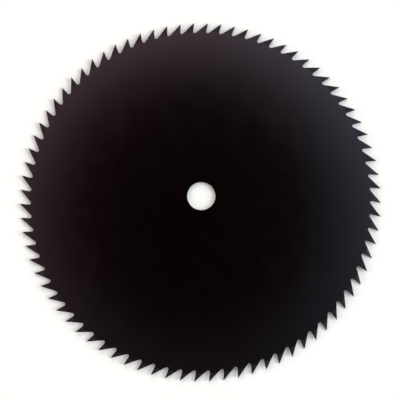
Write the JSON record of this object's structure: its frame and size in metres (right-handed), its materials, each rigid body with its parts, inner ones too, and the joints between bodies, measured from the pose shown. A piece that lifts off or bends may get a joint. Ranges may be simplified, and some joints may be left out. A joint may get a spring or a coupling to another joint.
{
  "type": "brush cutter blade",
  "caption": "Thin round steel blade with a plain arbor hole and pointed, alternately set saw teeth all round the rim; cuts brush and woody stems on a brush cutter.",
  "frame": {"origin": "centre of the arbor hole, half way through the thickness of the plate", "axes": "+Z along the arbor hole's axis, out of the face seen in the picture; +X to the tip of a tooth that is bent towards -Z; seen from +Z the teeth point clockwise"},
  "size_m": [0.255, 0.255, 0.0022],
  "materials": {
    "blackened_steel": "satin black, blackened all over after the teeth were cut and set"
  },
  "bodies": {
    "root": {"blade": "blackened_steel"}
  },
  "joints": []
}
